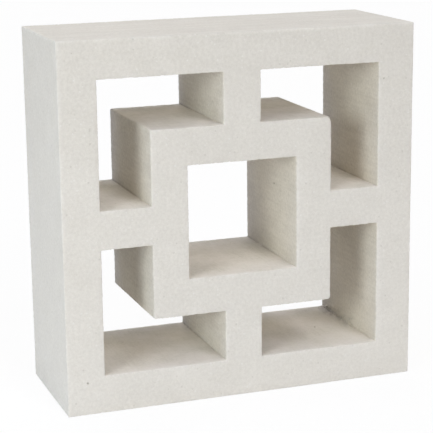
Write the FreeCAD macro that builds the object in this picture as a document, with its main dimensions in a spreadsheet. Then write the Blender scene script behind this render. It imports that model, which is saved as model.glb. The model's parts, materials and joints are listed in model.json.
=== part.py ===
# Decorative screen block: a square frame of pale concrete with a smaller square ring inside it.
# Four short spokes, one in the middle of each side, carry the ring. They leave four L-shaped slots
# in the corners and a square opening in the middle, all of which run straight through the block.
#
# Frame: X along the face, Y through the depth from front to back, Z up. The origin is the middle of
# the bed face, so the block stands on the plane z = 0. All sizes are in millimetres.
import FreeCAD, Part
import Sketcher
import os

# Driving dimensions: alias, value, what it measures.
SIZES = [
    ("face_width", 290.0, "width of the face, along X"),
    ("face_height", 290.0, "height of the face, along Z"),
    ("block_depth", 110.0, "depth through the block, along Y"),
    ("frame_bar", 30.5, "width of the four outer bars"),
    ("corner_slot", 40.0, "width of both arms of an L-shaped slot"),
    ("ring_bar", 30.0, "width of the four bars of the inner ring"),
    ("spoke_bar", 31.0, "width of the spokes between frame and ring"),
    ("outer_corner_radius", 1.5, "rounding of the outer and ring corners, along the depth"),
    ("arris_radius", 1.0, "rounding of every edge of the front and back faces"),
]

# How a sketch constraint names the sketch's origin, and the two ends of a line.
ORIGIN_POINT = (-1, 1)
START, END = 1, 2

# How close two places are to count as the same, and how far the edge rounding may change the volume.
PLACE_TOLERANCE = 1e-4
VOLUME_TOLERANCE = 0.005


def add_sheet(doc):
    """The spreadsheet of driving dimensions, one row each."""
    sheet = doc.addObject("Spreadsheet::Sheet", "sizes")
    for row, (alias, value, meaning) in enumerate(SIZES, start=1):
        sheet.set(f"A{row}", meaning)
        sheet.set(f"B{row}", str(value))
        sheet.setAlias(f"B{row}", alias)
    doc.recompute()
    return sheet


def origin_plane(body, role):
    """One of the body's own origin planes."""
    return next(plane for plane in body.Origin.OriginFeatures if plane.Role == role)


def add_face_sketch(body, name):
    """An empty sketch in the middle plane of the block: sketch x is X and sketch y is Z."""
    sketch = body.newObject("Sketcher::SketchObject", name)
    sketch.AttachmentSupport = [(origin_plane(body, "XZ_Plane"), "")]
    sketch.MapMode = "FlatFace"
    return sketch


def add_loop(sketch, points):
    """A closed outline of level and upright lines through the points, joined end to end."""
    count = len(points)
    for line, (x, y) in enumerate(points):
        next_x, next_y = points[(line + 1) % count]
        segment = Part.LineSegment(FreeCAD.Vector(x, y, 0), FreeCAD.Vector(next_x, next_y, 0))
        sketch.addGeometry(segment, False)
        direction = "Horizontal" if abs(next_x - x) > abs(next_y - y) else "Vertical"
        sketch.addConstraint(Sketcher.Constraint(direction, line))
    for line in range(count):
        sketch.addConstraint(Sketcher.Constraint("Coincident", line, END, (line + 1) % count, START))


def add_size(sketch, kind, first, second, expression):
    """A DistanceX or DistanceY between two points, each given as (line, end), bound to the sheet."""
    value = sketch.evalExpression(expression)
    index = sketch.addConstraint(Sketcher.Constraint(kind, *first, *second, value))
    sketch.setExpression(f"Constraints[{index}]", expression)


def add_centred_rectangle(body, name, width, height):
    """A sketch of a rectangle about the origin. Width and height are expressions on the sheet."""
    sketch = add_face_sketch(body, name)
    x = sketch.evalExpression(width) / 2
    z = sketch.evalExpression(height) / 2
    add_loop(sketch, [(-x, -z), (x, -z), (x, z), (-x, z)])
    sketch.addConstraint(Sketcher.Constraint("Symmetric", 0, START, 2, START, *ORIGIN_POINT))
    add_size(sketch, "DistanceX", (0, START), (0, END), width)
    add_size(sketch, "DistanceY", (1, START), (1, END), height)
    return sketch


def stations(face_size, sizes):
    """Distances from the middle to the frame's inside, the ring's outside and the ring's inside."""
    frame = face_size / 2 - sizes.frame_bar
    ring = frame - sizes.corner_slot
    return frame, ring, ring - sizes.ring_bar


def add_corner_slot_sketch(body, sizes):
    """The L-shaped slot of the upper right corner, set out from the block's middle."""
    frame_x, ring_x, _ = stations(sizes.face_width, sizes)
    frame_z, ring_z, _ = stations(sizes.face_height, sizes)
    spoke = sizes.spoke_bar / 2
    sketch = add_face_sketch(body, "corner_slot_outline")
    add_loop(sketch, [
        (frame_x, spoke), (frame_x, frame_z), (spoke, frame_z),
        (spoke, ring_z), (ring_x, ring_z), (ring_x, spoke),
    ])
    frame_foot, frame_corner, spoke_top = (0, START), (1, START), (2, START)
    ring_corner, ring_foot = (4, START), (5, START)
    add_size(sketch, "DistanceX", ORIGIN_POINT, frame_corner, "sizes.face_width / 2 - sizes.frame_bar")
    add_size(sketch, "DistanceY", ORIGIN_POINT, frame_corner, "sizes.face_height / 2 - sizes.frame_bar")
    add_size(sketch, "DistanceX", ORIGIN_POINT, spoke_top, "sizes.spoke_bar / 2")
    add_size(sketch, "DistanceY", ORIGIN_POINT, frame_foot, "sizes.spoke_bar / 2")
    add_size(sketch, "DistanceX", ring_foot, frame_foot, "sizes.corner_slot")
    add_size(sketch, "DistanceY", ring_corner, frame_corner, "sizes.corner_slot")
    return sketch


def add_through_pocket(doc, body, name, sketch):
    """A pocket of the sketch's outline through the whole depth, both ways from the middle plane."""
    pocket = body.newObject("PartDesign::Pocket", name)
    pocket.Profile = sketch
    pocket.Type = "ThroughAll"
    pocket.SideType = "Symmetric"
    doc.recompute()
    return pocket


def repeat_in_four_corners(doc, body, pocket):
    """The slot of one corner repeated in the others, by a mirror from side to side and one upside down."""
    corners = body.newObject("PartDesign::MultiTransform", "corner_slots")
    mirrors = []
    for name, role in (("side_to_side", "YZ_Plane"), ("upside_down", "XY_Plane")):
        mirror = body.newObject("PartDesign::Mirrored", name)
        mirror.MirrorPlane = (origin_plane(body, role), [""])
        mirrors.append(mirror)
    corners.Originals = [pocket]
    corners.Transformations = mirrors
    body.Tip = corners
    doc.recompute()
    return corners


def standing_corners(sizes):
    """Where the corners that stand out are, as (|x|, |z|): the block's own and those of the ring."""
    _, ring_x, _ = stations(sizes.face_width, sizes)
    _, ring_z, _ = stations(sizes.face_height, sizes)
    return [(sizes.face_width / 2, sizes.face_height / 2), (ring_x, ring_z)]


def depth_edge_names(shape, places):
    """Edges along Y at one of the places, each given as (|x|, |z|)."""
    names = []
    for number, edge in enumerate(shape.Edges, start=1):
        box = edge.BoundBox
        if max(box.XLength, box.ZLength) > PLACE_TOLERANCE:
            continue
        x, z = abs(box.XMin), abs(box.ZMin)
        if any(max(abs(x - at_x), abs(z - at_z)) < PLACE_TOLERANCE for at_x, at_z in places):
            names.append(f"Edge{number}")
    return names


def face_edge_names(shape, half_depth):
    """Edges that lie in the plane of the front face or of the back face."""
    names = []
    for number, edge in enumerate(shape.Edges, start=1):
        box = edge.BoundBox
        if box.YLength < PLACE_TOLERANCE and abs(abs(box.YMin) - half_depth) < PLACE_TOLERANCE:
            names.append(f"Edge{number}")
    return names


def add_fillet(doc, body, name, base, edge_names, radius):
    """Rounds the named edges of the feature before it. The radius is an expression on the sheet."""
    fillet = body.newObject("PartDesign::Fillet", name)
    fillet.Base = (base, edge_names)
    fillet.setExpression("Radius", radius)
    doc.recompute()
    return fillet


def round_edges(doc, body, base, sizes):
    """Rounds the corners along the depth first, then the whole outline of both faces."""
    corner_edges = depth_edge_names(base.Shape, standing_corners(sizes))
    corners = add_fillet(doc, body, "outer_corners", base, corner_edges, "sizes.outer_corner_radius")
    arris_edges = face_edge_names(corners.Shape, sizes.block_depth / 2)
    return add_fillet(doc, body, "arrises", corners, arris_edges, "sizes.arris_radius")


def build_screen_block(doc, sizes):
    """The block as one body, modelled about its own middle and stood on its bed face."""
    body = doc.addObject("PartDesign::Body", "screen_block")
    body.Label = "screen_block"

    slab = body.newObject("PartDesign::Pad", "slab")
    slab.Profile = add_centred_rectangle(body, "face_outline", "sizes.face_width", "sizes.face_height")
    slab.SideType = "Symmetric"
    slab.setExpression("Length", "sizes.block_depth")
    doc.recompute()

    slot = add_through_pocket(doc, body, "corner_slot", add_corner_slot_sketch(body, sizes))
    repeat_in_four_corners(doc, body, slot)

    core_inset = "2 * (sizes.frame_bar + sizes.corner_slot + sizes.ring_bar)"
    core_outline = add_centred_rectangle(
        body, "core_outline", f"sizes.face_width - {core_inset}", f"sizes.face_height - {core_inset}")
    core = add_through_pocket(doc, body, "core_opening", core_outline)

    body.Tip = round_edges(doc, body, core, sizes)
    body.setExpression("Placement.Base.z", "sizes.face_height / 2")
    doc.recompute()
    return body


def sharp_volume(sizes):
    """Volume of the block with sharp edges, from its driving dimensions."""
    frame_x, _, core_x = stations(sizes.face_width, sizes)
    frame_z, _, core_z = stations(sizes.face_height, sizes)
    spoke = sizes.spoke_bar / 2
    slot = sizes.corner_slot * (frame_x - spoke + frame_z - spoke - sizes.corner_slot)
    openings = 4 * slot + 4 * core_x * core_z
    return sizes.block_depth * (sizes.face_width * sizes.face_height - openings)


def check(doc, body, sizes):
    """Stops the build if a feature failed, the solid is unsound or an opening was not cut."""
    failed = [item.Name for item in doc.Objects if {"Invalid", "Error"} & set(item.State)]
    if failed:
        raise RuntimeError(f"these features failed: {failed}")
    shape = body.Shape
    if shape.isNull() or not shape.isValid() or len(shape.Solids) != 1:
        raise RuntimeError("the block is not one valid solid")
    share = shape.Volume / sharp_volume(sizes)
    if abs(share - 1) > VOLUME_TOLERANCE:
        raise RuntimeError(f"the volume is {share:.4f} of what the sizes give")
    print(f"{body.Label}: {shape.Volume / 1e6:.4f} litres, {len(shape.Faces)} faces, {shape.BoundBox}")


def main():
    doc = FreeCAD.newDocument("decorative_screen_block")
    sizes = add_sheet(doc)
    body = build_screen_block(doc, sizes)
    check(doc, body, sizes)
    os.makedirs("parts", exist_ok=True)
    body.Shape.exportStep(os.path.join("parts", f"{body.Label}.step"))


main()
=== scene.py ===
# %% [markdown]
# # A pierced screen block in white concrete
# Screen blocks are laid like bricks to make garden walls that let light and air through. This one is a
# square frame with a smaller square ring held inside it by four short spokes, cast in one go.
#
# The solid model of the block is loaded first, as a fixed frame. It gives the true sizes. Everything
# below dresses that frame: a finer mesh with worn edges, a concrete finish, a floor, light and a camera.

# %% Load the frame
import json
import math
import random

import bmesh
import bpy
from mathutils import Matrix, Vector

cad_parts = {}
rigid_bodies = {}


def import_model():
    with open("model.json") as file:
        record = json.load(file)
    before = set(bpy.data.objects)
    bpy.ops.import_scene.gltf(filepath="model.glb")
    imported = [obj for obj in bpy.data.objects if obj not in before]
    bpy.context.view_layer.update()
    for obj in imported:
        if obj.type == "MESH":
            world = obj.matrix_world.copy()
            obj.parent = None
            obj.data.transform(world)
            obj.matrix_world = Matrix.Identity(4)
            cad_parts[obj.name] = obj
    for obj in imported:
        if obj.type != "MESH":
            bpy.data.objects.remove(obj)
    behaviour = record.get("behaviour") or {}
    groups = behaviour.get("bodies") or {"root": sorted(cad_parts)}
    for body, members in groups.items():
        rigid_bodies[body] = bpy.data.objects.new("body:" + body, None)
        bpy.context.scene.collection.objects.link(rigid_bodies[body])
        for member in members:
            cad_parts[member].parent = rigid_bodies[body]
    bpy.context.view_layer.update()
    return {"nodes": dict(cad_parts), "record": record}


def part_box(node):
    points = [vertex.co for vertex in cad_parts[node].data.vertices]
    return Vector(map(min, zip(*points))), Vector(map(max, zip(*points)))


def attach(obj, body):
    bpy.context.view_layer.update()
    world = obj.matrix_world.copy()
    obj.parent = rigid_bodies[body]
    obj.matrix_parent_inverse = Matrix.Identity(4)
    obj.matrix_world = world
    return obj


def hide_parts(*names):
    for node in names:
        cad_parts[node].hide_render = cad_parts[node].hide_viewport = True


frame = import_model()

print("frame nodes:", sorted(frame["nodes"]))

# %% [markdown]
# ## Sizes
# A mason sets the block out from its middle: half a spoke, the inside of the ring, its outside, and the
# inside of the frame. The numbers could be typed in, but the frame already knows them. Its record lists
# every opening as a box that stops a little short of the walls, so the walls are read from those boxes.

# %% Read the block's sizes from the frame
NODE = "screen_block"
BOX_CLEARANCE = 0.0005

low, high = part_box(NODE)
WIDTH, DEPTH, HEIGHT = high - low
FRONT, BACK = low.y, high.y
MIDDLE = low.z + HEIGHT / 2

opening_boxes = {item["name"]: item["box_m"] for item in frame["record"]["physics"]["openings"]}
level_arm = opening_boxes["upper_right_slot_level_arm"]
upright_arm = opening_boxes["upper_right_slot_upright_arm"]
SPOKE = level_arm[0][0] - BOX_CLEARANCE
CORE = opening_boxes["core_opening"][1][0] + BOX_CLEARANCE
RING = upright_arm[0][0] - BOX_CLEARANCE
FRAME = level_arm[1][0] + BOX_CLEARANCE
print("half sizes in mm:", [round(size * 1000, 1) for size in (SPOKE, CORE, RING, FRAME, WIDTH / 2)])

# %% [markdown]
# ## The face as a flat sheet
# The whole block is one outline pushed straight through its depth, so it starts as a flat sheet the size
# of the face. A cube with boolean cuts would give the same shape but long thin faces, and worn edges
# need small even ones. Scoring the sheet with bisect gives a grid that follows every wall exactly.

# %% Lay the sheet and score it
EDGE_ROW = 0.0035
GRID_PITCH = 0.0045


def scores(walls):
    """Places to score: each wall between the ends, a line close to every wall, and even lines between."""
    places = []
    for wall, next_wall in zip(walls, walls[1:]):
        first, last = wall + EDGE_ROW, next_wall - EDGE_ROW
        count = round((last - first) / GRID_PITCH)
        places.append(wall)
        places.extend(first + (last - first) * step / count for step in range(count + 1))
    return places[1:]


def score(places, axis):
    """Cuts the mesh in edit mode by a plane across the axis at each place."""
    for place in places:
        bpy.ops.mesh.select_all(action="SELECT")
        bpy.ops.mesh.bisect(plane_co=axis * place, plane_no=axis)


X, Y, Z = Vector((1, 0, 0)), Vector((0, 1, 0)), Vector((0, 0, 1))
bpy.ops.object.select_all(action="DESELECT")
bpy.ops.mesh.primitive_plane_add(size=1, location=(0, FRONT, MIDDLE), rotation=(math.pi / 2, 0, 0))
block = bpy.context.object
block.name = block.data.name = "weathered_screen_block"
block.scale = (WIDTH, HEIGHT, 1)
bpy.ops.object.transform_apply(location=True, rotation=True, scale=True)

half_walls = [SPOKE, CORE, RING, FRAME, WIDTH / 2]
walls = [-wall for wall in reversed(half_walls)] + half_walls
bpy.ops.object.mode_set(mode="EDIT")
score(scores(walls), X)
score([place + MIDDLE for place in scores(walls)], Z)
print("scored sheet:", len(bmesh.from_edit_mesh(block.data).faces), "faces")

# %% [markdown]
# ## The openings and the depth
# Four L-shaped slots and the square core come out of the sheet as faces. Extruding what is left gives
# all the walls in one stroke, outside and inside, with the vertices of front and back in line.

# %% Cut the openings and push the sheet through


def is_open(x, z):
    """True inside one of the slots or the core, for a place measured from the face's middle."""
    near, far = sorted((abs(x), abs(z)))
    return far < CORE or (RING < far < FRAME and near > SPOKE)


def select_faces(is_wanted):
    """Selects the faces of the block, in edit mode, that pass a test. Gives back how many."""
    bpy.ops.mesh.select_all(action="DESELECT")
    bpy.ops.mesh.select_mode(type="FACE")
    cage = bmesh.from_edit_mesh(block.data)
    chosen = [face for face in cage.faces if is_wanted(face)]
    for face in chosen:
        face.select_set(True)
    bmesh.update_edit_mesh(block.data)
    return len(chosen)


def lies_in_opening(face):
    centre = face.calc_center_median()
    return is_open(centre.x, centre.z - MIDDLE)


select_faces(lies_in_opening)
bpy.ops.mesh.delete(type="FACE")
bpy.ops.mesh.select_all(action="SELECT")
bpy.ops.mesh.extrude_region_move(TRANSFORM_OT_translate={"value": Y * DEPTH})
score(scores([FRONT, BACK]), Y)
bpy.ops.mesh.select_all(action="SELECT")
bpy.ops.mesh.normals_make_consistent(inside=False)
print("raw block:", len(bmesh.from_edit_mesh(block.data).faces), "faces")

# %% [markdown]
# ## Arrises
# A mason calls the edges arrises. They have rubbed along pallets and hands and are rounded by a little
# under a millimetre. With a painted highlight in the colour, this makes the pale line that draws the
# block's outline. The ring's corners are rounder.
# Bevel makes all of them. The corners along the depth go first, then the outlines of the front and back, so
# that each outline runs round its corners without a break.

# %% Round the corners and arrises
OUTER_RADIUS = 0.0009
RING_CORNER_RADIUS = 0.0015
OPENING_RADIUS = 0.0008
SHARP = math.radians(40)
MOSTLY = 0.5


def stands_out(edge):
    return edge.calc_face_angle_signed() > SHARP


def select_edges(is_wanted):
    """Selects the edges of the block, in edit mode, that pass a test. Gives back how many."""
    bpy.ops.mesh.select_all(action="DESELECT")
    bpy.ops.mesh.select_mode(type="EDGE")
    cage = bmesh.from_edit_mesh(block.data)
    chosen = [edge for edge in cage.edges if is_wanted(edge)]
    for edge in chosen:
        edge.select_set(True)
    bmesh.update_edit_mesh(block.data)
    return len(chosen)


def runs_along_depth(edge):
    start, end = (vertex.co for vertex in edge.verts)
    return abs(end.y - start.y) > MOSTLY * (end - start).length


def middle_of(item):
    """The middle of an edge or face."""
    return sum((vertex.co for vertex in item.verts), Vector()) / len(item.verts)


def is_outside(item):
    """True for an edge or face on the outside of the frame, and not on the ring or in an opening."""
    middle = middle_of(item)
    return max(abs(middle.x), abs(middle.z - MIDDLE)) > (FRAME + WIDTH / 2) / 2


for radius, segments, is_wanted in (
    (OUTER_RADIUS, 3, lambda edge: runs_along_depth(edge) and is_outside(edge)),
    (RING_CORNER_RADIUS, 2, lambda edge: runs_along_depth(edge) and not is_outside(edge)),
    (OUTER_RADIUS, 3, lambda edge: not runs_along_depth(edge) and is_outside(edge)),
    (OPENING_RADIUS, 2, lambda edge: not runs_along_depth(edge) and not is_outside(edge)),
):
    count = select_edges(lambda edge: stands_out(edge) and is_wanted(edge))
    bpy.ops.mesh.bevel(offset=radius, segments=segments, affect="EDGES")
    print(f"rounded {count} edges to {radius * 1000:.1f} mm")

# %% [markdown]
# ## Names for the parts
# Later steps need to find some parts again after the mesh has changed: the arrises, those of the openings
# by themselves and those over an opening, the inside corners that take painted shade and grime, and the
# walls that the mould's core pulled along. Vertex groups remember them. A vertex that is added later
# between two members becomes a member too.

# %% Name the parts
AXIS_ALIGNED = 0.99
SLANTED = 0.3


def is_rounding(face):
    return max(abs(part) for part in face.normal) < AXIS_ALIGNED


def is_lintel_arris(face):
    """True for the rounding of a front or back edge over an opening."""
    faces_down, faces_out = face.normal.z < -SLANTED, abs(face.normal.y) > SLANTED
    return is_rounding(face) and not is_outside(face) and faces_down and faces_out


def name_selected(group_name):
    """Puts the selected vertices into a new vertex group."""
    bpy.ops.object.vertex_group_add()
    block.vertex_groups.active.name = group_name
    bpy.ops.object.vertex_group_assign()


select_faces(is_rounding)
name_selected("arris")
select_faces(lambda face: is_rounding(face) and not is_outside(face))
name_selected("opening_arris")
select_faces(is_lintel_arris)
name_selected("lintel_arris")
select_edges(lambda edge: edge.calc_face_angle_signed() < -SHARP)
name_selected("inside_corner")
select_faces(lambda face: abs(face.normal.y) < MOSTLY and not is_outside(face))
name_selected("inside_wall")
print("named parts:", ", ".join(group.name for group in block.vertex_groups))

# %% [markdown]
# ## Pinholes
# Air bubbles caught against the mould leave pinholes in a cast face, about a millimetre across. A dark dot
# in the colour would look the same from far away, but a real hole takes the shadow from the right side in
# every view. Each one is a grid vertex opened out by a vertex bevel, then sunk by two insets.
#
# A few have a set place. Their colour is darkened with painted shade and dirt, so they get a name for the
# colour, and those in the openings are drawn out, because the core dragged them along as it was pulled.
# The rest are scattered over all the faces by a seeded draw. A draw goes by the numbers of the vertices,
# which extrude and bevel can give out differently in every run, so the mesh is numbered afresh before each
# draw.

# %% Sink the pinholes
SET_PINHOLES = [
    # place, radius, how many times as long along the depth
    (Vector((CORE, -0.008, 0.159)), 0.0008, 2.4),
    (Vector((0.084, -0.001, MIDDLE - FRAME)), 0.0007, 1.6),
    (Vector((-0.129, FRONT, 0.026)), 0.0008, 1.0),
    (Vector((0.119, FRONT, 0.247)), 0.00055, 1.0),
    (Vector((-0.133, FRONT, 0.2805)), 0.0003, 1.0),
]
SCATTERED_PINHOLES = {0.0004: 40, 0.00055: 10}
RIM_PROFILE = 0.12
PINHOLE_INSETS = [
    # inwards and down, as shares of the radius
    (0.12, 0.8),
    (0.4, 0.7),
]
LONG_EDGE = EDGE_ROW * 0.9
ODD_DIRECTION = Vector((1.0, 0.6180340, 0.4142136))
PINHOLE_SEED = 7
seeded = random.Random(PINHOLE_SEED)


def renumber():
    """Numbers the vertices, edges and faces along a direction in which no two are level."""
    cage = bmesh.from_edit_mesh(block.data)
    cage.verts.sort(key=lambda vertex: vertex.co.dot(ODD_DIRECTION))
    cage.edges.sort(key=lambda edge: middle_of(edge).dot(ODD_DIRECTION))
    cage.faces.sort(key=lambda face: middle_of(face).dot(ODD_DIRECTION))
    bmesh.update_edit_mesh(block.data)


def is_on_plain_grid(vertex):
    """True for a vertex inside a flat face, clear of the arrises and of other pinholes."""
    normals = [face.normal for face in vertex.link_faces]
    return (len(normals) == 4 and all(len(face.verts) == 4 for face in vertex.link_faces)
            and all(normal.dot(normals[0]) > AXIS_ALIGNED for normal in normals)
            and all(edge.calc_length() > LONG_EDGE for edge in vertex.link_edges))


def sink_pinholes(radius, choose):
    """Opens the vertices that a function chooses from the plain ones, and sinks them into small bowls."""
    bpy.ops.mesh.select_mode(type="VERT")
    cage = bmesh.from_edit_mesh(block.data)
    chosen = choose([vertex for vertex in cage.verts if is_on_plain_grid(vertex)])
    bpy.ops.mesh.select_all(action="DESELECT")
    for vertex in chosen:
        vertex.select_set(True)
    bmesh.update_edit_mesh(block.data)
    bpy.ops.mesh.bevel(offset=radius, segments=2, profile=RIM_PROFILE, affect="VERTICES")
    bpy.ops.mesh.select_mode(type="FACE")
    for inwards, down in PINHOLE_INSETS:
        bpy.ops.mesh.inset(thickness=radius * inwards, depth=-radius * down)
    print(f"{len(chosen)} pinholes {radius * 2000:.1f} mm across")


def slid_to(place):
    """A choice of the one vertex that is nearest to a place, slid along its face to the place itself."""
    def choose(plain):
        nearest = min(plain, key=lambda vertex: (vertex.co - place).length)
        bpy.ops.mesh.select_all(action="DESELECT")
        nearest.select_set(True)
        bpy.ops.transform.translate(value=place - nearest.co)
        return [nearest]
    return choose


# The set pinholes join a group whose colour is later darkened with painted shade and dirt.
bpy.ops.object.vertex_group_add()
block.vertex_groups.active.name = "dirty_pinhole"
for place, radius, stretch in SET_PINHOLES:
    sink_pinholes(radius, slid_to(place))
    bpy.ops.mesh.select_more(use_face_step=False)
    bpy.ops.object.vertex_group_assign()
    bpy.ops.mesh.select_more(use_face_step=False)
    bpy.ops.transform.resize(value=(1, stretch, 1), center_override=place)
for radius, count in SCATTERED_PINHOLES.items():
    renumber()
    sink_pinholes(radius, lambda plain: seeded.sample(plain, count))

# %% [markdown]
# ## Close rows for wear
# Sand grains break out of an arris every two or three millimetres. The faces there are still longer than
# that, so their long edges are subdivided. Only the rounding and the row beside it are cut, which keeps
# the flats light.

# %% Subdivide along the arrises
GRAIN_CUTS = 3


def split_many_sided():
    """Turns the many-sided faces that a subdivide leaves at its border into triangles."""
    bpy.ops.mesh.select_face_by_sides(number=4, type="GREATER", extend=False)
    bpy.ops.mesh.quads_convert_to_tris(ngon_method="BEAUTY")


renumber()
bpy.ops.mesh.select_mode(type="VERT")
bpy.ops.mesh.select_all(action="DESELECT")
bpy.ops.object.vertex_group_set_active(group="arris")
bpy.ops.object.vertex_group_select()
bpy.ops.mesh.select_mode(type="FACE")
bpy.ops.mesh.select_more(use_face_step=True)
cage = bmesh.from_edit_mesh(block.data)
long_edges = {edge for face in cage.faces if face.select for edge in face.edges
              if edge.calc_length() > LONG_EDGE}
select_edges(lambda edge: edge in long_edges)
bpy.ops.mesh.subdivide(number_cuts=GRAIN_CUTS)
split_many_sided()
print("arris rows cut:", len(bmesh.from_edit_mesh(block.data).faces), "faces")

# %% [markdown]
# ## A bead of crumbs
# In one corner of a slot some cement squeezed past the mould and broke off roughly. The other inside corners
# are crisp. The two rows beside the corner get close cuts, the corner itself is lifted a little into the
# slot, and Randomize moves each vertex of the bead by a fraction of a millimetre. The bead gets a name, so
# that a later step can swell it into lumps. It leaves the group of the inside corners, which take painted
# shade and grime.

# %% Leave crumbs in the lower right slot
CRUMB_CUTS = 3
BEAD_START, BEAD_END = -0.012, BACK - EDGE_ROW
BEAD_WIDTH = EDGE_ROW * 1.7
CUT_WIDTH = BEAD_WIDTH * 1.3
CORNER_REACH = EDGE_ROW * 0.1
BEAD_LIFT = Vector((-0.0012, 0, 0.0012))
CRUMB_SIZE = 0.0008
CRUMB_SEED = 4


def distance_from_bead(place):
    """How far a place is from the inside corner, or a long way for one before or behind the bead."""
    if not BEAD_START < place.y < BEAD_END:
        return DEPTH
    return math.hypot(place.x - FRAME, place.z - (MIDDLE - FRAME))


def select_bead(reach):
    """Selects the vertices within reach of the inside corner. Gives back how many."""
    bpy.ops.mesh.select_mode(type="VERT")
    bpy.ops.mesh.select_all(action="DESELECT")
    cage = bmesh.from_edit_mesh(block.data)
    chosen = [vertex for vertex in cage.verts if distance_from_bead(vertex.co) < reach]
    for vertex in chosen:
        vertex.select_set(True)
    bmesh.update_edit_mesh(block.data)
    return len(chosen)


renumber()
select_faces(lambda face: distance_from_bead(middle_of(face)) < CUT_WIDTH)
bpy.ops.mesh.subdivide(number_cuts=CRUMB_CUTS)
split_many_sided()
renumber()
select_bead(CORNER_REACH)
bpy.ops.transform.translate(value=BEAD_LIFT)
count = select_bead(BEAD_WIDTH)
bpy.ops.transform.vertex_random(offset=CRUMB_SIZE, seed=CRUMB_SEED)
name_selected("bead")
bpy.ops.object.vertex_group_set_active(group="inside_corner")
bpy.ops.object.vertex_group_remove_from()
print("vertices in the bead:", count)

# %% [markdown]
# ## Knocks
# Two corners of the ring and one spot on the top edge have been knocked. A boolean cut would leave a clean
# plane there. Moving one vertex inwards with proportional editing takes its neighbours along, less and
# less with distance, which leaves the blunt hollow of a real knock.

# %% Knock three places
KNOCKS = [
    # where, which way and how far, how wide
    (Vector((RING, FRONT, MIDDLE + RING)), Vector((-0.0008, 0.0005, -0.0008)), 0.0040),
    (Vector((RING, FRONT, MIDDLE - RING)), Vector((-0.0002, 0.0006, 0.0003)), 0.0020),
    (Vector((-0.0875, FRONT, HEIGHT)), Vector((0.0, 0.0009, -0.0009)), 0.0020),
]

bpy.ops.mesh.select_mode(type="VERT")
for place, move, reach in KNOCKS:
    bpy.ops.mesh.select_all(action="DESELECT")
    cage = bmesh.from_edit_mesh(block.data)
    min(cage.verts, key=lambda vertex: (vertex.co - place).length).select_set(True)
    bmesh.update_edit_mesh(block.data)
    bpy.ops.transform.translate(value=move, use_proportional_edit=True,
                                proportional_edit_falloff="SMOOTH", proportional_size=reach)
bpy.ops.object.mode_set(mode="OBJECT")
print("knocked places:", len(KNOCKS))

# %% [markdown]
# ## Worn edges
# Several things roughen a moulded block: the faces are never dead flat, grains have left the arrises, most
# of all those over an opening, and here and there a small chip is gone. The bead of crumbs is lumpy. Each
# is a Displace modifier with a cloud texture of its own scale. Sculpting would do it too, but a texture is
# the same every time the script runs.

# %% Displace faces, grains, chips and crumbs


def displace(name, feature, depth, group="", threshold=(0.0, 1.0)):
    """Sinks the surface by up to depth where a cloud texture rises through the two thresholds."""
    texture = bpy.data.textures.new(name, "CLOUDS")
    texture.noise_scale = feature
    texture.noise_depth = 2
    texture.use_color_ramp = True
    ramp = texture.color_ramp.elements
    ramp[0].position, ramp[1].position = threshold
    ramp[0].color, ramp[1].color = (0, 0, 0, 1), (1, 1, 1, 1)
    modifier = block.modifiers.new(name, "DISPLACE")
    modifier.texture = texture
    modifier.texture_coords = "LOCAL"
    modifier.strength = -depth
    modifier.mid_level = 0
    modifier.vertex_group = group
    bpy.context.view_layer.objects.active = block
    bpy.ops.object.modifier_apply(modifier=name)


displace("face_waviness", feature=0.060, depth=0.0005)
displace("rubbed_grains", feature=0.0018, depth=0.0002, group="arris", threshold=(0.4, 0.85))
displace("lost_grains", feature=0.0020, depth=0.0003, group="opening_arris", threshold=(0.4, 0.85))
displace("ragged_lintels", feature=0.0035, depth=0.0006, group="lintel_arris", threshold=(0.52, 0.85))
displace("chips", feature=0.010, depth=0.0007, group="arris", threshold=(0.80, 0.98))
displace("crumbs", feature=0.0050, depth=-0.0022, group="bead", threshold=(0.48, 0.80))
print("lowest point after wear: {:.2f} mm".format(1000 * min(v.co.z for v in block.data.vertices)))

# %% [markdown]
# ## Finish the mesh
# Doubles are merged and the normals checked, because a later step may look at the mesh without its
# material. Smooth shading stops at the inside corners of the openings, which stay crisp. Some of the
# groups are also written as attributes, because a material can read an attribute but not a vertex group.
# The groups have then done their work and are removed.

# %% Merge, check and shade
MERGE_WITHIN = 0.00001
SMOOTH_UP_TO = math.radians(55)
# The attributes carry the worn arrises with their painted highlight, the inside corners with painted shade
# and grime, the walls in the openings, and the set pinholes with painted shade and dirt.
ATTRIBUTES = {"wear": "arris", "grime": "inside_corner", "pulled": "inside_wall", "dirt": "dirty_pinhole"}

bpy.ops.object.mode_set(mode="EDIT")
bpy.ops.mesh.select_all(action="SELECT")
bpy.ops.mesh.remove_doubles(threshold=MERGE_WITHIN)
bpy.ops.mesh.normals_make_consistent(inside=False)
cage = bmesh.from_edit_mesh(block.data)
print("open or crossed edges:", sum(not edge.is_manifold for edge in cage.edges))
bpy.ops.object.mode_set(mode="OBJECT")
bpy.ops.object.shade_smooth_by_angle(angle=SMOOTH_UP_TO)

for attribute_name, group_name in ATTRIBUTES.items():
    index = block.vertex_groups[group_name].index
    attribute = block.data.attributes.new(attribute_name, "FLOAT", "POINT")
    for vertex in block.data.vertices:
        weight = sum(item.weight for item in vertex.groups if item.group == index)
        attribute.data[vertex.index].value = weight
bpy.ops.object.vertex_group_remove(all=True)

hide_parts(NODE)
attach(block, "root")
triangle_count = sum(len(face.vertices) - 2 for face in block.data.polygons)
print("finished block:", triangle_count, "triangles")

# %% [markdown]
# ## Shader values as Python
# Concrete is many faint layers on top of each other, which takes many small nodes. A node tree drawn by
# hand would do. Here a small class wraps a socket instead, so that layers can be added and multiplied
# in plain expressions. Each expression adds its own Math node.

# %% Wrap a socket


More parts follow.
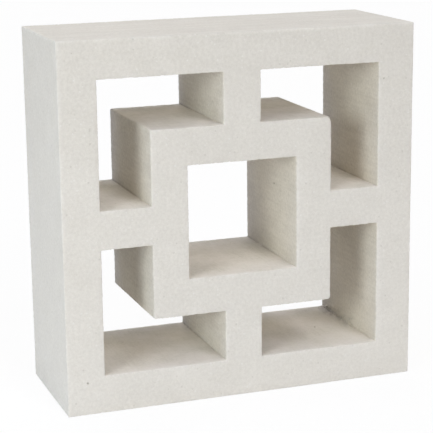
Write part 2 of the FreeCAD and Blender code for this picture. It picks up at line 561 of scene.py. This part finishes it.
class Field:
    """A value that changes over a surface: an output socket in a node tree."""

    def __init__(self, tree, socket=None):
        self.tree, self.socket = tree, socket

    def node(self, kind, settings=None, sockets=None, output=0):
        """The output of a new node. Its settings are set first, then its sockets get values or links."""
        node = self.tree.nodes.new(kind)
        for name, value in (settings or {}).items():
            setattr(node, name, value)
        for name, value in (sockets or {}).items():
            if isinstance(value, Field):
                self.tree.links.new(value.socket, node.inputs[name])
            else:
                node.inputs[name].default_value = value
        return Field(self.tree, node.outputs[output])

    def feed(self, shader, name):
        """Links the value to a socket of a shader that is already there."""
        self.tree.links.new(self.socket, shader.inputs[name])

    def math(self, operation, first, second):
        return self.node("ShaderNodeMath", {"operation": operation}, {0: first, 1: second})

    def __add__(self, other):
        return self.math("ADD", self, other)

    def __sub__(self, other):
        return self.math("SUBTRACT", self, other)

    def __rsub__(self, other):
        return self.math("SUBTRACT", other, self)

    def __mul__(self, other):
        return self.math("MULTIPLY", self, other)

    __radd__, __rmul__ = __add__, __mul__

    def step(self, start, end):
        """0 up to start and 1 from end on, with a smooth rise between. It falls where end is lower."""
        return self.node("ShaderNodeMapRange", {"interpolation_type": "SMOOTHSTEP"},
                         {"Value": self, "From Min": start, "From Max": end})

    def blend(self, first, second, how="MIX"):
        """The first colour where this value is 0, and the second, or their product, where it is 1."""
        return self.node("ShaderNodeMix", {"data_type": "RGBA", "blend_type": how},
                         {0: self, 6: first, 7: second}, 2)


# %% [markdown]
# ## White concrete
# White cement and pale sand make a warm off-white. Up close it has four layers: broad cloudy stains where
# the mix dried unevenly, smaller patches, the sand itself as a fine speckle, and a few single grains that
# are darker or whiter than the rest. All are read from Object coordinates, so the pattern runs through
# the block and matches at the edges. The walls that the core pulled along are rougher: their speckle is
# stronger, and drag marks run along the depth. A painted warm shade tints these walls, most of all on the
# right. The arrises are paler, partly fresh cement where they are worn and partly a painted highlight. A
# thin line of painted shade and grime darkens the inside corners, mostly towards the back, and painted
# shade and dirt darken some pinholes. The floors of the openings are paler, partly from dust and partly
# from painted light from above. The colour is painted a trace darker towards the top and lighter towards
# the floor as painted light, and the top face gets a painted lift.

# %% Mix the concrete
DARK_CEMENT = (0.634, 0.602, 0.544, 1)
PALE_CEMENT = (0.762, 0.732, 0.672, 1)
# Paler cement for the arrises, partly worn cement and partly a painted highlight.
HIGHLIGHT_AND_FRESH_CEMENT = (0.800, 0.780, 0.735, 1)
# A warm tint for painted shade on the walls in the openings.
WARM_SHADE_TINT = (1.000, 0.930, 0.830, 1)
# A dark colour for painted shade and grime in the inside corners, and painted shade and dirt in some
# pinholes.
SHADE_AND_GRIME = (0.400, 0.360, 0.300, 1)
# A pale colour for dust and painted light on the floors of the openings.
DUST_AND_FLOOR_LIGHT = (0.820, 0.780, 0.738, 1)
DARK_SAND = (0.380, 0.350, 0.300, 1)
WHITE_SAND = (0.850, 0.840, 0.815, 1)

concrete = bpy.data.materials.new("white_concrete")
concrete.use_nodes = True
concrete_shader = concrete.node_tree.nodes["Principled BSDF"]
place = Field(concrete.node_tree).node("ShaderNodeTexCoord", output="Object")


def cloud(feature, detail=2.0, stretch=(1, 1, 1)):
    """Noise around 0, with lumps of about the feature size in metres."""
    stretched = place.node("ShaderNodeMapping", sockets={"Vector": place, "Scale": stretch})
    sockets = {"Vector": stretched, "Scale": 1 / feature, "Detail": detail}
    return place.node("ShaderNodeTexNoise", sockets=sockets, output="Fac") - 0.5


def painted(attribute_name):
    """The value of an attribute that was written to the mesh."""
    return place.node("ShaderNodeAttribute", {"attribute_name": attribute_name}, output="Fac")


def along(axis_name):
    """The place along one axis of the block, in metres."""
    return place.node("ShaderNodeSeparateXYZ", sockets={"Vector": place}, output=axis_name)


pulled = painted("pulled")
stains = cloud(0.070)
patches = cloud(0.016)
sand = cloud(0.0025)
fine_sand = cloud(0.0010, detail=0.0)
drag_marks = cloud(0.0020, stretch=(1, 0.08, 1)) + 0.6 * cloud(0.006, stretch=(1, 0.10, 1))
height = along("Z")
behind = along("Y").step(FRONT, 0.0)
rightward = along("X").step(-RING, FRAME)
on_top = height.step(HEIGHT - 0.003, HEIGHT - 0.001)
streaks = cloud(0.007, stretch=(0.08, 1, 1)) * on_top

speckle = 1.1 * sand + 0.4 * fine_sand + 0.45 * patches
# Painted light: the colour is darker towards the top and lighter towards the floor, for light that bounces
# up from the floor.
painted_floor_light = 0.76 - (0.44 / HEIGHT) * height
dragged = pulled * (0.04 + 0.5 * speckle + drag_marks)
# In the shade below, 0.2 * on_top is a painted lift that lightens the top face.
shade = painted_floor_light + 0.35 * stains + speckle + dragged + 0.8 * streaks + 0.2 * on_top
cement = shade.blend(DARK_CEMENT, PALE_CEMENT)

outward = place.node("ShaderNodeTexCoord", output="Normal")
upward = place.node("ShaderNodeSeparateXYZ", sockets={"Vector": outward}, output="Z").step(0.6, 0.9)
wall = pulled * (1 - upward)
# Painted shade: the walls in the openings are tinted warmer, most on the right, for the warm bounced light
# in their shade.
warm_shade_tinted = (wall * (0.08 + 0.24 * rightward)).blend(cement, WARM_SHADE_TINT, "MULTIPLY")

GRAIN = 0.0022
grains = {"Vector": place, "Scale": 1 / GRAIN}
grain_distance = place.node("ShaderNodeTexVoronoi", sockets=grains, output="Distance")
grain_colour = place.node("ShaderNodeTexVoronoi", sockets=grains, output="Color")
draw = place.node("ShaderNodeSeparateColor", sockets={"Color": grain_colour}, output="Red")
is_grain = grain_distance.step(0.45, 0.25)
dark_grains = is_grain * draw.step(0.985, 0.99)
white_grains = is_grain * draw.step(0.04, 0.03)
sanded = (0.3 * white_grains).blend((0.25 * dark_grains).blend(warm_shade_tinted, DARK_SAND), WHITE_SAND)

scuffs = cloud(0.012).step(-0.05, 0.20)
# Worn arrises are painted paler in patches: partly fresh cement, partly a painted highlight.
highlight_and_wear = (0.3 * painted("wear") * scuffs).blend(sanded, HIGHLIGHT_AND_FRESH_CEMENT)
# The floors of the openings are painted paler in patches: partly dust, partly painted light from above.
floor_light_and_dust = upward * pulled * cloud(0.022).step(-0.30, 0.20) * (1 + 1.5 * cloud(0.006))
dusted_and_lit = (0.75 * floor_light_and_dust).blend(highlight_and_wear, DUST_AND_FLOOR_LIGHT)
# Painted shade and grime: the inside corners are darkened, most towards the back of the openings, where
# shade falls.
grime = painted("grime").step(0.55, 1.0) * cloud(0.015).step(-0.2, 0.1) * behind
# The set pinholes are darkened too, with painted shade and dirt.
colour = (0.45 * grime + 0.38 * painted("dirt")).blend(dusted_and_lit, SHADE_AND_GRIME)
colour.feed(concrete_shader, "Base Color")
(0.9 + 0.3 * sand - 0.1 * white_grains).feed(concrete_shader, "Roughness")
grit = {"Strength": 0.35, "Distance": 0.0006, "Height": 0.7 * sand + 0.5 * fine_sand}
place.node("ShaderNodeBump", sockets=grit, output="Normal").feed(concrete_shader, "Normal")
concrete_shader.inputs["Specular IOR Level"].default_value = 0.1
block.data.materials.append(concrete)
print("concrete nodes:", len(concrete.node_tree.nodes))

# %% [markdown]
# ## Floor and background
# The block stands on white paper that runs out of sight, as in a product picture. White paper under plain
# light renders a pale grey, and more light would bleach the block. So what the camera sees of the paper
# and of the world behind it is mostly a plain white glow, while the light that bounces up from the paper
# is the paper's own. A part of what the camera sees stays real paper, and that part keeps the shadow.

# %% Lay the paper and whiten the world
PAPER_SIZE = 30
PAPER_WHITE = (0.94, 0.94, 0.94, 1)
GLOW_SHARE = 0.92
RAYS_SEEN = ("Camera", "Glossy", "Transmission")


def seen_directly(tree):
    """1 for a ray that the camera sees straight, in a mirror or through glass, and 0 for a ray of light."""
    rays = [Field(tree).node("ShaderNodeLightPath", output=f"Is {kind} Ray") for kind in RAYS_SEEN]
    return rays[0] + rays[1] + rays[2]


bpy.ops.object.select_all(action="DESELECT")
bpy.ops.mesh.primitive_plane_add(size=PAPER_SIZE)
floor = bpy.context.object
floor.name = "paper_floor"

paper = bpy.data.materials.new("white_paper")
paper.use_nodes = True
paper_shader = paper.node_tree.nodes["Principled BSDF"]
paper_shader.inputs["Base Color"].default_value = PAPER_WHITE
paper_shader.inputs["Roughness"].default_value = 1
paper_shader.inputs["Specular IOR Level"].default_value = 0
share = seen_directly(paper.node_tree) * GLOW_SHARE
glow = share.node("ShaderNodeEmission", sockets={"Color": (1, 1, 1, 1), "Strength": 1})
diffuse = Field(paper.node_tree, paper_shader.outputs["BSDF"])
surface = share.node("ShaderNodeMixShader", sockets={0: share, 1: diffuse, 2: glow})
surface.feed(paper.node_tree.nodes["Material Output"], "Surface")
floor.data.materials.append(paper)

world = bpy.data.worlds.new("white_room")
world.use_nodes = True
bpy.context.scene.world = world
background = world.node_tree.nodes["Background"]
background.inputs["Color"].default_value = (1, 1, 1, 1)
seen_directly(world.node_tree).feed(background, "Strength")
print("floor and world are white to the camera")

# %% [markdown]
# ## Light
# The light is that of a bright room. A round soft lamp at the front left draws the shadows inside the
# openings. It stands near enough that it strikes the right slots more from the side than the left ones.
# The panels, the ceiling, the window and the walls keep the front, the sides and the top about equally
# bright. They are suns, because only their direction and width matter. A wide sun is as soft as a panel.

# %% Hang the lamps
SUNS = {
    # turn to the right from the front, height and width in degrees, strength, colour
    "left_ceiling_panel": (-45, 52, 16, 0.22, (1.11, 1.00, 0.89)),
    "front_panel": (15, 30, 20, 0.70, (0.99, 0.97, 1.02)),
    "high_front_panel": (15, 50, 20, 0.40, (0.97, 0.98, 1.05)),
    "ceiling": (0, 89, 40, 1.06, (1.02, 1.01, 0.97)),
    "left_window": (-95, 50, 60, 0.40, (0.60, 0.87, 1.56)),
    "right_wall": (95, 12, 40, 0.50, (1.02, 1.00, 0.98)),
    "room_behind": (180, 28, 50, 0.98, (1.12, 1.03, 0.85)),
}
KEY_TURN, KEY_TILT, KEY_DISTANCE = -54.5, 14, 2.4
KEY_SIZE, KEY_POWER, KEY_COLOUR = 1.0, 22.1, (0.96, 1.02, 1.00)


def direction(turn, tilt):
    """The unit vector that points from the block to a turn round it and a tilt above the floor."""
    turn, tilt = math.radians(turn), math.radians(tilt)
    return Vector((math.sin(turn) * math.cos(tilt), -math.cos(turn) * math.cos(tilt), math.sin(tilt)))


def hang(name, kind, turn, tilt, distance, strength, lamp_colour):
    """A lamp of a kind at a distance from the block's middle, aimed at it."""
    towards = direction(turn, tilt)
    aim = towards.to_track_quat("Z", "Y").to_euler()
    bpy.ops.object.light_add(type=kind, location=Z * MIDDLE + towards * distance, rotation=aim)
    lamp = bpy.context.object
    lamp.name = lamp.data.name = name
    lamp.data.energy = strength
    lamp.data.color = lamp_colour
    return lamp


key = hang("front_left_lamp", "AREA", KEY_TURN, KEY_TILT, KEY_DISTANCE, KEY_POWER, KEY_COLOUR)
key.data.shape = "DISK"
key.data.size = KEY_SIZE
for name, (turn, tilt, width, strength, lamp_colour) in SUNS.items():
    sun = hang(name, "SUN", turn, tilt, KEY_DISTANCE, strength, lamp_colour)
    sun.data.angle = math.radians(width)
print("lamps:", key.name, *SUNS)

# %% [markdown]
# ## Camera
# The picture was taken with a long lens from the front left, a little above the block. The place and the
# angles come from a fit of the block's edges to the picture. A new camera looks straight down. It is rolled
# by a hair, raised to look a little below level and turned to the right, as on a tripod.

# %% Place the camera
LENS_MM, SENSOR_MM = 128.54, 36
CAMERA_PLACE = (-0.4136, -1.1477, 0.4269)
TURN, TILT, ROLL = (math.radians(angle) for angle in (19.705, 13.509, -0.692))

bpy.ops.object.camera_add(location=CAMERA_PLACE)
camera = bpy.context.object
camera.name = "camera"
rolled = Matrix.Rotation(ROLL, 3, "Z")
raised = Matrix.Rotation(math.pi / 2 - TILT, 3, "X")
turned = Matrix.Rotation(-TURN, 3, "Z")
camera.rotation_euler = (turned @ raised @ rolled).to_euler()
camera.data.sensor_width = SENSOR_MM
camera.data.lens = LENS_MM
bpy.context.scene.camera = camera
bpy.context.scene.view_settings.view_transform = "Standard"
print("camera to block: {:.2f} m".format((camera.location - Z * MIDDLE).length))
